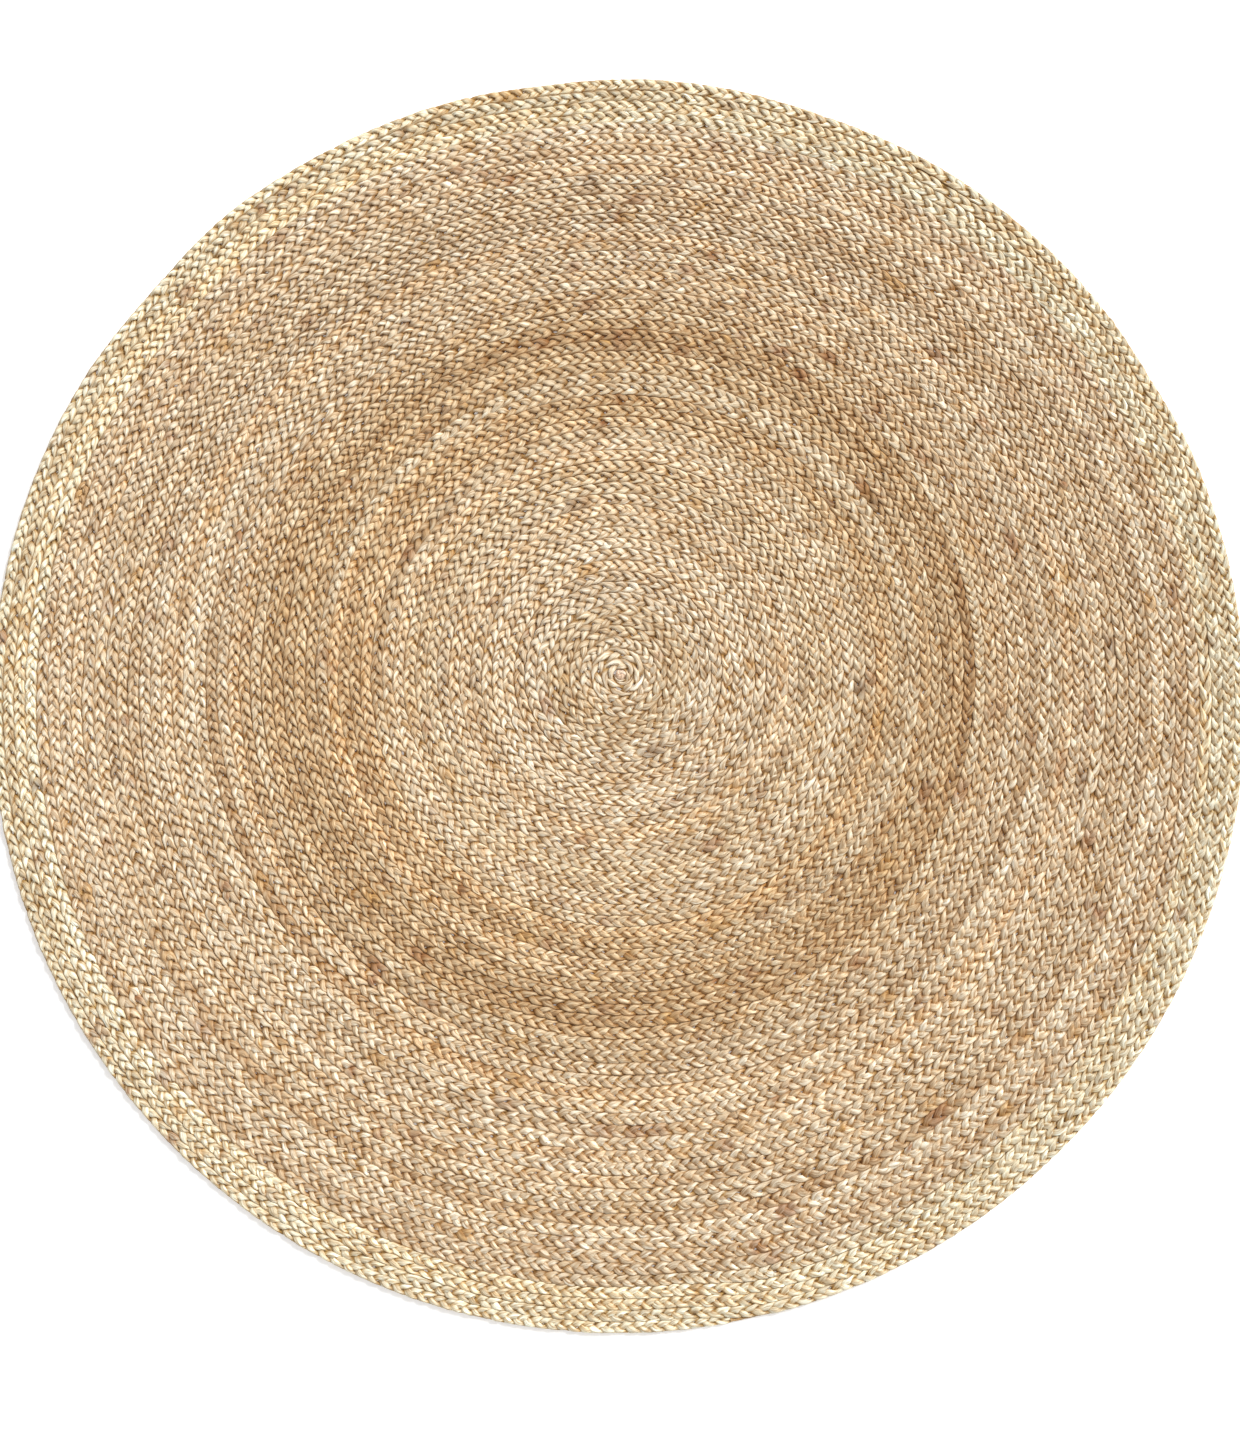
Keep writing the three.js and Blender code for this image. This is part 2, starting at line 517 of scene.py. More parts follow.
class Coil:
    """The spiral that the braid follows.  A turn is counted from the middle, and the braid's
    outer edge at one turn is its inner edge at the next."""

    def __init__(self, sizes, plait):
        self.turns = sizes.turns
        self.pitch = RIM_RADIUS / sizes.turns
        self.gap = sizes.seam_gap
        self.waver_size = sizes.seam_waver
        self.nesting = sizes.nesting
        self.repeat = plait.repeat
        self.seam_wavers = [Waver(changes, self.reach(self.turns)) for changes in SEAM_CHANGES]
        self.slack = Waver(SLACK_CHANGES, self.reach(self.turns + 1))

    def reach(self, turn):
        """Length of the spiral up to a turn."""
        return math.pi * self.pitch * np.maximum(turn, 0) ** 2

    def swing(self, turn):
        """How far the plait has got at a turn, in radians, with a hand's unevenness."""
        reach = self.reach(turn - 0.5)
        return 2 * math.pi * (reach / self.repeat + self.slack(reach)[..., 0])

    def edge_radius(self, turn):
        """Radius of the braid's outer edge.  The outer turns ease outwards to close up behind
        the tail, so the rim stays round."""
        share = smooth_step((turn - (self.turns - 1 - EASED_TURNS)) / EASED_TURNS)
        part = turn - np.floor(turn)
        taper = smooth_step((part - 1 + TAIL_TAPER) / TAIL_TAPER)
        even = self.pitch * (turn + share * (1 - part + part * taper))
        return np.minimum(even, RIM_RADIUS)

    def seam_radius(self, turn):
        """The outer edge with the waver of a seam sewn by hand, which fades at both ends."""
        calm = smooth_step(turn - 1) * (1 - RIM_CALM * smooth_step(turn - self.turns + 1.5))
        reach = self.reach(turn)
        waver = sum(waver(reach) for waver in self.seam_wavers)
        waver = np.tanh(waver[..., 0]) * self.waver_size
        own, next_row = (3 * (self.swing(turn + row) - side) for row, side in NESTING_SIDES)
        waver = waver + self.nesting * (np.cos(own) - np.cos(next_row)) / 2
        radius = self.edge_radius(turn) + waver * calm
        return np.minimum(radius, RIM_RADIUS)

    def row(self, turn):
        """Radii of the two edges of the braid at a turn."""
        inner = np.where(
            self.edge_radius(turn - 1) < KNOT_RADIUS, KNOT_RADIUS, self.seam_radius(turn - 1)
        )
        return inner + self.gap, self.seam_radius(turn)

    def point(self, radius, turn):
        """The point at a radius and a turn.  Inner turns circle the knot, and outer ones are
        drawn over until they run parallel to the rim."""
        drawn = smooth_step((radius / RIM_RADIUS - CONCENTRIC_SHARE) / (1 - CONCENTRIC_SHARE))
        bearing = (TAIL_ANGLE + 360 * turn) % 360
        angle = np.radians(bearing)
        near_rim = smooth_step(radius / RIM_RADIUS * 5 - 4)
        for middle, half_width, depth in RIM_DENTS:
            radius = radius - depth * near_rim * np.exp(-(((bearing - middle) / half_width) ** 2))
        x = COIL_START[0] * (1 - drawn) + radius * np.cos(angle)
        y = COIL_START[1] * (1 - drawn) + radius * np.sin(angle)
        return x, y

    def walk(self, start, end, step):
        """Turns that are evenly spaced along the coil, with the distance to each."""
        count = int((self.reach(end) - self.reach(start)) / WALK_STEP) + 2
        reach = np.linspace(self.reach(start), self.reach(end), count)
        fine = np.sqrt(reach / math.pi / self.pitch)
        inner, outer = self.row(fine)
        x, y = self.point((inner + outer) / 2, fine)
        gone = np.concatenate(([0], np.cumsum(np.hypot(np.diff(x), np.diff(y)))))
        stops = np.linspace(0, gone[-1], int(round(gone[-1] / step)) + 1)
        return np.interp(stops, gone, fine), stops


# ---- Meshes -----------------------------------------------------------------------------------


def tube_mesh(name, rings, attributes=None, strip_rows=1):
    """A closed tube through rings of points, or several tubes alike.  attributes holds one value
    or vector for each point.  The bake map lays the tubes out as strip_rows strips, one under the
    other."""
    count, sides = rings.shape[-3:-1]
    tubes = rings.size // (3 * count * sides)
    mesh = bpy.data.meshes.new(name)
    mesh.vertices.add(tubes * count * sides)
    mesh.vertices.foreach_set("co", rings.astype(np.float32).ravel())

    side = np.arange(sides)
    after = (side + 1) % sides
    first = np.arange(tubes)[:, None, None] * count * sides
    ring = first + np.arange(count - 1)[None, :, None] * sides
    corners = np.stack([ring + side, ring + after, ring + sides + after, ring + sides + side], -1)
    caps = first[:, 0] + np.concatenate((side[::-1], (count - 1) * sides + side))
    quads = tubes * (count - 1) * sides
    mesh.loops.add(quads * 4 + tubes * 2 * sides)
    mesh.loops.foreach_set(
        "vertex_index", np.concatenate((corners.ravel(), caps.ravel())).astype(np.int32)
    )
    mesh.polygons.add(quads + 2 * tubes)
    starts = np.concatenate((np.arange(quads) * 4, quads * 4 + np.arange(2 * tubes) * sides))
    mesh.polygons.foreach_set("loop_start", starts.astype(np.int32))
    mesh.update(calc_edges=True)
    mesh.polygons.foreach_set("use_smooth", np.ones(quads + 2 * tubes, bool))

    steps = tubes * (count - 1)
    per_row = math.ceil(steps / strip_rows)
    row, place = np.divmod(np.arange(steps), per_row)
    along = np.stack([place, place, place + 1, place + 1], -1)[:, None, :] / per_row
    around = np.stack([side, side + 1, side + 1, side], -1)[None] / sides
    margin, end_margin = 0.06, 0.002
    across = (row[:, None, None] + margin + (1 - 2 * margin) * around) / (strip_rows + 1)
    along = np.broadcast_to(end_margin + (1 - 2 * end_margin) * along, across.shape)
    turned = 2 * math.pi * side / sides
    cap_size = 0.3
    cap = np.stack([np.cos(turned), np.sin(turned)], -1) * cap_size / (strip_rows + 1)
    low = cap + [0.25, (strip_rows + 0.5) / (strip_rows + 1)]
    high = cap + [0.75, (strip_rows + 0.5) / (strip_rows + 1)]
    places = [np.stack([along, across], -1).reshape(-1, 2)] + [low[::-1], high] * tubes
    layer = mesh.uv_layers.new(name=BAKE_MAP)
    layer.uv.foreach_set("vector", np.concatenate(places).astype(np.float32).ravel())

    for key, values in (attributes or {}).items():
        kind, field = ("FLOAT_VECTOR", "vector")
        if values.shape[-1] == 4:
            kind, field = ("FLOAT_COLOR", "color")
        layer = mesh.attributes.new(key, kind, "POINT")
        layer.data.foreach_set(field, values.astype(np.float32).ravel())
    mesh.validate()
    return mesh


def add_piece(name, mesh, material, slot, *nodes):
    """Puts a piece in the scene, on the frame's body, in place of its nodes."""
    piece = bpy.data.objects.new(name, mesh)
    bpy.context.scene.collection.objects.link(piece)
    mesh.materials.append(material)
    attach(piece, "root")
    if nodes:
        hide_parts(*nodes)
    return piece


# ---- Materials --------------------------------------------------------------------------------


class Finish:
    """A material's nodes, added one after another."""

    def __init__(self, name):
        self.material = bpy.data.materials.new(name)
        self.material.use_nodes = True
        self.tree = self.material.node_tree
        self.tree.nodes.clear()
        self.surface = self.add("ShaderNodeBsdfPrincipled")
        output = self.add("ShaderNodeOutputMaterial")
        self.join(self.surface.outputs["BSDF"], output.inputs["Surface"])

    def add(self, kind, **settings):
        node = self.tree.nodes.new(kind)
        for key, value in settings.items():
            setattr(node, key, value)
        return node

    def join(self, output, socket):
        self.tree.links.new(output, socket)

    def put(self, socket, value):
        """Sets a socket, or joins it to an output."""
        if isinstance(value, bpy.types.NodeSocket):
            self.join(value, socket)
        else:
            socket.default_value = value

    def attribute(self, name, output="Vector"):
        return self.add("ShaderNodeAttribute", attribute_name=name).outputs[output]

    def stretched(self, vector, scale):
        node = self.add("ShaderNodeVectorMath", operation="MULTIPLY")
        self.put(node.inputs[0], vector)
        node.inputs[1].default_value = scale
        return node.outputs[0]

    def noise(self, vector, scale, detail=2.0, roughness=0.55):
        node = self.add("ShaderNodeTexNoise")
        self.put(node.inputs["Vector"], self.stretched(vector, scale))
        node.inputs["Scale"].default_value = 1.0
        node.inputs["Detail"].default_value = detail
        node.inputs["Roughness"].default_value = roughness
        return node.outputs["Fac"]

    def math(self, operation, first, second=0.0, third=0.0):
        node = self.add("ShaderNodeMath", operation=operation)
        for socket, value in zip(node.inputs, (first, second, third)):
            self.put(socket, value)
        return node.outputs[0]

    def spread(self, value, low, high, to_low=0.0, to_high=1.0):
        """Value from low to high, as a number from to_low to to_high."""
        node = self.add("ShaderNodeMapRange")
        numbers = (low, high, to_low, to_high)
        self.put(node.inputs[0], value)
        for socket, number in zip(node.inputs[1:5], numbers):
            socket.default_value = number
        return node.outputs[0]

    def mix(self, share, first, second, blend="MIX"):
        node = self.add("ShaderNodeMix", data_type="RGBA", blend_type=blend)
        self.put(node.inputs["Factor"], share)
        for socket, value in zip([s for s in node.inputs if s.type == "RGBA"], (first, second)):
            self.put(socket, value)
        return next(s for s in node.outputs if s.type == "RGBA")

    def bump(self, height, distance, strength=1.0, normal=None):
        node = self.add("ShaderNodeBump")
        self.put(node.inputs["Height"], height)
        node.inputs["Distance"].default_value = distance
        node.inputs["Strength"].default_value = strength
        if normal is not None:
            self.put(node.inputs["Normal"], normal)
        return node.outputs["Normal"]


def jute_finish(name, colours, fibre_width=0.00045, fibre_length=0.016):
    """Jute sliver: long fibres of mixed tones, a dry sheen and a few flecks of bark."""
    finish = Finish(name)
    tone = finish.attribute("jute_tone", "Color")
    run = finish.attribute("fibre_run")
    across, along = 1 / fibre_width, 1 / fibre_length

    fibres = finish.noise(run, (across, across, along), 3.0, 0.6)
    slivers = finish.noise(run, (across / 4, across / 4, along), 2.0)
    patches = finish.noise(run, (160, 160, 26), 2.0)

    light = finish.spread(fibres, 0.3, 0.7, *FIBRE_LIGHT)
    broad = finish.spread(slivers, 0.3, 0.7, *SLIVER_LIGHT)
    value = finish.math("MULTIPLY", light, broad)
    shift = finish.add("ShaderNodeCombineColor")
    for socket, power in zip(shift.inputs, TONE_SHIFT):
        finish.put(socket, finish.math("POWER", value, float(power)))
    colour = finish.mix(1.0, tone, shift.outputs[0], "MULTIPLY")

    gold = finish.spread(patches, 0.48, 0.75, 0.0, 0.4)
    colour = finish.mix(gold, colour, GOLDEN_FILTER, "MULTIPLY")
    flecks = finish.noise(run, (across / 2, across / 2, along * 2.4), 1.0)
    bark = finish.spread(flecks, 0.74, 0.8, 0.0, 0.75)
    colour = finish.mix(bark, colour, (*colours.bark, 1.0))
    finish.join(colour, finish.surface.inputs["Base Color"])

    dryness = finish.spread(fibres, 0.25, 0.75, 0.95, 0.72)
    finish.join(dryness, finish.surface.inputs["Roughness"])
    normal = finish.bump(slivers, 0.0012, 0.8)
    normal = finish.bump(fibres, 0.0003, 0.8, normal)
    finish.join(normal, finish.surface.inputs["Normal"])
    finish.surface.inputs["Specular IOR Level"].default_value = 0.3
    finish.surface.inputs["Sheen Weight"].default_value = 0.12
    finish.surface.inputs["Sheen Roughness"].default_value = 0.45
    finish.surface.inputs["Sheen Tint"].default_value = (1.0, 0.93, 0.8, 1.0)
    return finish.material


def floor_finish(name, colour, glow):
    """A pale matt floor that is lit a little from below."""
    finish = Finish(name)
    where = finish.add("ShaderNodeTexCoord").outputs["Object"]
    grain = finish.noise(where, (40, 40, 40), 4.0)
    speckle = finish.spread(grain, 0.3, 0.7, 0.0, 0.02)
    shade = finish.mix(speckle, (*colour, 1.0), (0.8, 0.8, 0.8, 1.0))
    finish.join(shade, finish.surface.inputs["Base Color"])
    finish.join(finish.spread(grain, 0.3, 0.7, 0.7, 0.8), finish.surface.inputs["Roughness"])
    finish.surface.inputs["Specular IOR Level"].default_value = 0.1
    finish.surface.inputs["Emission Color"].default_value = (1.0, 1.0, 1.0, 1.0)
    finish.surface.inputs["Emission Strength"].default_value = glow
    return finish.material


# ---- The braid --------------------------------------------------------------------------------


def length_tones(colours, turn):
    """Tone of the jute at each turn, running over a little where one length follows another."""
    ends = np.array([end for end, _ in BRAID_LENGTHS], float)
    tones = np.array([getattr(colours, tone) for _, tone in BRAID_LENGTHS])
    which = np.minimum(np.searchsorted(ends, turn), len(ends) - 1)
    after = np.minimum(which + 1, len(ends) - 1)
    share = 0.5 * smooth_step((turn - ends[which]) / JOIN_TURNS + 1)[:, None]
    before = np.maximum(which - 1, 0)
    lead = 0.5 * smooth_step((ends[before] - turn) / JOIN_TURNS + 1)[:, None]
    lead = np.where((which > 0)[:, None], lead, 0)
    return tones[which] * (1 - share - lead) + tones[after] * share + tones[before] * lead


def strand_tones(colours, turn, gone, number, depth, edge):
    """Colour of each point of a strand.  Whole stretches of the braid, stretches of one strand,
    single lobes and single slivers differ, shade is painted into the jute down in the grooves
    and beside the seams, and a few slivers are stained.  depth runs from 0 in the middle of the
    rug to 1 on its two faces, and edge from 0 in the middle of the braid to 1 at its seams."""
    base = length_tones(colours, turn)[:, None, :]
    row = sum(changing(changes, gone) for changes in ROW_TONES)
    row = row - BROWN_ROW_STRENGTH * np.maximum(changing(BROWN_ROWS, gone) - BROWN_ROW_FROM, 0)
    light = ROW_TONE_STRENGTH * row + changing(STRETCH_TONES, gone, number)
    light = light + changing(LOBE_TONES, gone, number)
    light = light + changing(SLIVER_TONES, gone, number, STRAND_SIDES)
    light = np.clip(light, DARKEST_TONE, LIGHTEST_TONE)
    colour = base * np.exp(light[..., None] * TONE_SHIFT)
    gold = changing(GOLDEN_ROWS, gone) + changing(GOLDEN_LOBES, gone, number)
    colour = colour * np.exp(np.maximum(gold, LEAST_GOLDEN)[..., None] * GOLD_SHIFT)

    # Painted shade: jute that lies low in the plait's grooves is darkened and browned.
    unshaded_share = smooth_step((depth - PAINTED_SHADE_DEPTHS[0]) / (PAINTED_SHADE_DEPTHS[1] - PAINTED_SHADE_DEPTHS[0]))
    colour = colour * (PAINTED_SHADE_TINT + (1 - PAINTED_SHADE_TINT) * unshaded_share[..., None])
    # Painted shade beside the seams, where neighbouring turns meet, stronger on some rows than on
    # others.
    seam_shade_strength = np.clip(SEAM_SHADE_SHARE + changing(SEAM_SHADE_CHANGES, gone), 0, 1)
    beside_seam = smooth_step((edge - SEAM_EDGE[0]) / (SEAM_EDGE[1] - SEAM_EDGE[0]))
    painted_seam_shade = SEAM_SHADE * (seam_shade_strength * beside_seam)[..., None]
    colour = colour * (1 - painted_seam_shade * (1 - PAINTED_SHADE_TINT))

    stain(colour, gone, colours, SLIVER_STAINS, SLIVER_STAIN_SEED + number)
    stain(colour, gone, colours, BRAID_STAINS, BRAID_STAIN_SEED)
    return np.clip(colour, *TONE_LIMITS)


def stain(colour, gone, colours, kind, seed):
    """Stains stretches of a strand.  The same seed stains all three strands at one place."""
    count, lengths, widths, amounts = kind
    rng = np.random.default_rng(seed)
    for _ in range(count):
        middle, side = rng.uniform(0, gone[-1]), rng.integers(STRAND_SIDES)
        long, wide, amount = (rng.uniform(*limits) for limits in (lengths, widths, amounts))
        tint = np.array(rng.choice((colours.rust, colours.ochre, colours.bark), p=STAIN_SHARES))
        near = slice(*np.searchsorted(gone, (middle - 2 * long, middle + 2 * long)))
        fade = np.exp(-(((gone[near] - middle) / long) ** 4))
        half = STRAND_SIDES // 2
        apart = np.abs((np.arange(STRAND_SIDES) - side + half) % STRAND_SIDES - half)
        share = (amount * fade[:, None] * np.exp(-((apart / wide) ** 2)))[..., None]
        colour[near] += (tint - colour[near]) * share


def pressed(offset, limit):
    """A strand's reach across the braid, flattened where the next turn holds it back."""
    share = np.abs(offset) / limit
    over = np.maximum(share - PRESSED_FROM, 0) / (1 - PRESSED_FROM)
    held = np.minimum(share, PRESSED_FROM) + (1 - PRESSED_FROM) * np.tanh(over)
    return np.sign(offset) * held * limit


def plait_strand(coil, plait, turn, gone, number):
    """Rings of one of the three strands, at every cross-section of the whole braid, with where
    each point lies in the fibre, and its depth and edge as strand_tones has them."""
    uneven = plait.unevenness
    inner, outer = coil.row(turn)
    half = (outer - inner) / 2
    theta = coil.swing(turn) + 2 * math.pi * number / len(STRANDS)
    theta = theta + changing(SWING_CHANGES, gone, number)[:, 0]

    plump = 1 + uneven * changing(PLUMPNESS_CHANGES, gone, number)[:, 0]
    plump = np.clip(plump, *PLUMPNESS_LIMITS) * (1 - plait.swell * np.cos(4 * theta))
    thin = np.clip(half / (coil.pitch / 2), *THINNESS_LIMITS)
    low = np.minimum(thin, 1) ** TAIL_FLATTENING
    drift = uneven * changing(PLACE_CHANGES, gone, number, 2)
    swing = np.sin(theta + plait.haste * np.sin(2 * theta))
    across = half * (plait.sway * swing + SIDE_DRIFT * drift[:, 0])
    rise = np.sin(2 * theta) + HEIGHT_DRIFT * drift[:, 1]
    height = low * (RUG_THICKNESS / 2 + plait.lift * rise)

    wide = plait.strand_width * thin * plump
    deep = plait.strand_depth * low * plump
    tilt = -math.pi / 2 + plait.roll * np.cos(theta)
    sides = 2 * math.pi * np.arange(STRAND_SIDES) / STRAND_SIDES
    turned = sides[None, :] - tilt[:, None]
    size = 1 / np.hypot(np.cos(turned) / wide[:, None], np.sin(turned) / deep[:, None])
    ridge = np.tanh(changing(RIDGE_CHANGES, gone, number, STRAND_SIDES))
    size = size * (1 + plait.ridges * ridge)

    slant = np.arctan(np.gradient(across, gone))[:, None]
    offset = size * np.cos(sides)
    along = -np.sin(slant) * offset
    overlap = plait.overlap * np.clip(1 + changing(OVERLAP_CHANGES, gone)[:, 0], *OVERLAP_LIMITS)
    limit = half + overlap * np.minimum(thin, 1)
    across = pressed(across[:, None] + np.cos(slant) * offset, limit[:, None])
    z = np.maximum(height[:, None] + size * np.sin(sides), FLOOR_PLAY)
    radius = ((inner + outer) / 2)[:, None] + across
    own_turn = turn[:, None] + along * np.gradient(turn, gone)[:, None]
    x, y = coil.point(radius, own_turn)
    rings = np.stack([x, y, z], -1)

    twist = sides[None, :] + GRAIN_TWIST * tilt[:, None]
    far = gone[:, None] + along
    run = np.stack([GRAIN_RADIUS * np.cos(twist) + number, GRAIN_RADIUS * np.sin(twist), far], -1)
    depth = np.abs(z / (low * RUG_THICKNESS / 2)[:, None] - 1)
    return rings, run, depth, np.abs(across) / half[:, None]


class RUG_OT_plait_braid(bpy.types.Operator):
    """Plait the three strands of every length of braid and wind them in the coil"""

    bl_idname = "rug.plait_braid"
    bl_label = "Plait Braid"

    def execute(self, context):
        coil = Coil(context.scene.rug_coil, context.scene.rug_plait)
        plait = context.scene.rug_plait
        colours = context.scene.rug_colours
        material = jute_finish("plaited_jute", colours)
        end = coil.turns - TAIL_BINDING_START
        step = plait.repeat / SECTIONS_PER_REPEAT
        turn, gone = coil.walk(FIRST_TURN, end, step)
        for number, strand in enumerate(STRANDS):
            rings, run, depth, edge = plait_strand(coil, plait, turn, gone, number)
            tone = strand_tones(colours, turn, gone, number, depth, edge)
            tone = np.concatenate((tone, np.ones_like(tone[..., :1])), -1)
            start = 0
            for index, (length_end, slot) in enumerate(BRAID_LENGTHS, 1):
                stop = int(np.searchsorted(turn, length_end, side="right"))
                part = slice(start, min(stop + 1, len(turn)))
                start = stop
                own = rings[part].copy()
                play = coil.gap / np.linalg.norm(own[1] - own[0], axis=-1).mean()
                own[0] += (own[1] - own[0]) * play
                rows = max(1, round(math.sqrt((len(own) - 1) * step / STRAND_GIRTH)))
                mesh = tube_mesh(
                    f"braid_{index:02d}_strand_{strand}",
                    own,
                    {"jute_tone": tone[part], "fibre_run": run[part]},
                    rows,
                )
                node = f"braid_length_{index:02d}"
                add_piece(mesh.name, mesh, material, f"{slot}_jute", node)
        return {"FINISHED"}


# ---- Sewing and binding -----------------------------------------------------------------------


def thread_rings(path, radius, sides):
    """Rings round a path, each square to it, with a radius for each of its points."""
    ahead = np.gradient(path, axis=0)
    ahead /= np.linalg.norm(ahead, axis=1)[:, None]
    across = np.cross(ahead, [0, 0, 1.0])
    across /= np.linalg.norm(across, axis=1)[:, None]
    up = np.cross(across, ahead)
    angle = -2 * math.pi * np.arange(sides) / sides
    sideways = np.cos(angle)[None, :, None] * across[:, None]
    upwards = np.sin(angle)[None, :, None] * up[:, None]
    return path[:, None] + (sideways + upwards) * radius[:, None, None]


def plain_tone(colour, rings, seed):
    """One tone for a thread, with the small changes of spun fibre."""
    count, sides = rings.shape[:2]
    changes = Changes(seed, THREAD_TONE_SPACING, THREAD_TONE_STRENGTH)
    waver = Waver(changes, count, columns=sides)(np.arange(count, dtype=float))
    tone = np.array(colour)[None, None, :] * (1 + waver)[..., None]
    return np.concatenate((np.clip(tone, *TONE_LIMITS), np.ones((count, sides, 1))), -1)


def twisted_run(rings, path, radius, repeat):
    """Fibre directions of a twisted thread."""
    gone = np.concatenate(([0], np.cumsum(np.linalg.norm(np.diff(path, axis=0), axis=1))))
    count, sides = rings.shape[:2]
    angle = 2 * math.pi * (np.arange(sides) / sides)[None, :] + 2 * math.pi * gone[:, None] / repeat
    along = np.broadcast_to(gone[:, None], angle.shape)
    return np.stack([radius * np.cos(angle), radius * np.sin(angle), along], -1)


class RUG_OT_lace_seams(bpy.types.Operator):
    """Lace the sewing thread along the underside of every seam"""

    bl_idname = "rug.lace_seams"
    bl_label = "Lace Seams"

    stitch: FloatProperty(
        name="Stitch", description="Length of a stitch", default=0.0144, unit="LENGTH"
    )
    thickness: FloatProperty(
        name="Thickness", description="Thickness of the thread", default=0.0021, unit="LENGTH"
    )
    height: FloatProperty(
        name="Height", description="Height over the floor", default=0.0015, unit="LENGTH"
    )
    swing: FloatProperty(
        name="Swing",
        description="How far the thread swings to each side of the seam",
        default=0.0008,
        unit="LENGTH",
    )
    rise: FloatProperty(
        name="Rise",
        description="How far the thread rises and dips between stitches",
        default=0.0004,
        unit="LENGTH",
    )

    def execute(self, context):
        coil = Coil(context.scene.rug_coil, context.scene.rug_plait)
        colours = context.scene.rug_colours
        material = jute_finish("sewing_jute", colours, 0.0003, 0.004)
        start = LACED_FROM_TURN
        for index, (end, _) in enumerate(BRAID_LENGTHS, 1):
            turn, gone = coil.walk(start, end - THREAD_PLAY, self.stitch / STITCH_SECTIONS)
            start = end
            swing = np.sin(2 * math.pi * gone / self.stitch + STITCH_START)
            radius = coil.seam_radius(turn - 1) + coil.gap / 2 + self.swing * swing
            x, y = coil.point(radius, turn)
            z = self.height + self.rise * np.cos(4 * math.pi * gone / self.stitch)
            path = np.stack([x, y, z], -1)
            thickness = self.thickness / 2 * (1 + changing(THREAD_CHANGES, gone, index)[:, 0])
            rings = thread_rings(path, thickness, THREAD_SIDES)
            mesh = tube_mesh(
                f"lacing_{index:02d}",
                rings,
                {
                    "jute_tone": plain_tone(colours.thread, rings, THREAD_TONE_SEED + index),
                    "fibre_run": twisted_run(rings, path, THREAD_TWIST_RADIUS, THREAD_TWIST),
                },
                max(1, round(math.sqrt(gone[-1] / THREAD_GIRTH))),
            )
            add_piece(mesh.name, mesh, material, "jute_thread", f"sewing_thread_{index:02d}")
        return {"FINISHED"}


class RUG_OT_bind_start(bpy.types.Operator):
    """Tie the knot that the coil starts from"""

    bl_idname = "rug.bind_start"
    bl_label = "Bind Start"

    def execute(self, context):
        colours = context.scene.rug_colours
        material = jute_finish("knot_jute", colours, 0.0003, 0.006)
        height = KNOT_BOX[1].z
        steps = np.linspace(0, 2 * math.pi, KNOT_SECTIONS)
        loop = KNOT_LOOP + KNOT_LOOP_SWING * np.cos(3 * steps)
        path = np.stack(
            [
                COIL_START[0] + loop * np.cos(2 * steps),
                COIL_START[1] + loop * np.sin(2 * steps),
                height - KNOT_DROP + KNOT_WEAVE * np.sin(3 * steps),
            ],
            -1,
        )
        rings = thread_rings(path, np.full(len(path), KNOT_CORD_RADIUS), KNOT_CORD_SIDES)
        mesh = tube_mesh(
            "start_knot",
            rings,
            {
                "jute_tone": plain_tone(colours.knot, rings, KNOT_TONE_SEED),
                "fibre_run": twisted_run(rings, path, KNOT_CORD_RADIUS, KNOT_CORD_TWIST),
            },
            4,
        )
        add_piece(mesh.name, mesh, material, "wheat_jute", "start_binding")

        levels = np.linspace(WHIPPING_FOOT, height - WHIPPING_DROP, WHIPPING_LEVELS)
        share = (levels - levels[0]) / (levels[-1] - levels[0])
        windings = 0.92 + 0.05 * np.sin(2 * math.pi * WHIPPING_TURNS * share)
        rounding = np.sqrt(np.clip(1 - (2 * share - 1) ** 6 * 0.7, 0.05, 1))
        size = KNOT_RADIUS * windings * rounding
        angle = 2 * math.pi * np.arange(WHIPPING_SIDES) / WHIPPING_SIDES
        rings = np.stack(
            [
                COIL_START[0] + size[:, None] * np.cos(angle),
                COIL_START[1] + size[:, None] * np.sin(angle),
                np.broadcast_to(levels[:, None], (WHIPPING_LEVELS, WHIPPING_SIDES)),
            ],
            -1,
        )
        run = np.stack(
            [rings[..., 2], 0 * rings[..., 0], KNOT_RADIUS * angle + 0 * rings[..., 0]], -1
        )
        mesh = tube_mesh(
            "start_whipping",
            rings,
            {"jute_tone": plain_tone(colours.knot, rings, WHIPPING_TONE_SEED), "fibre_run": run},
        )
        add_piece(mesh.name, mesh, material, "wheat_jute", "start_binding")
        return {"FINISHED"}


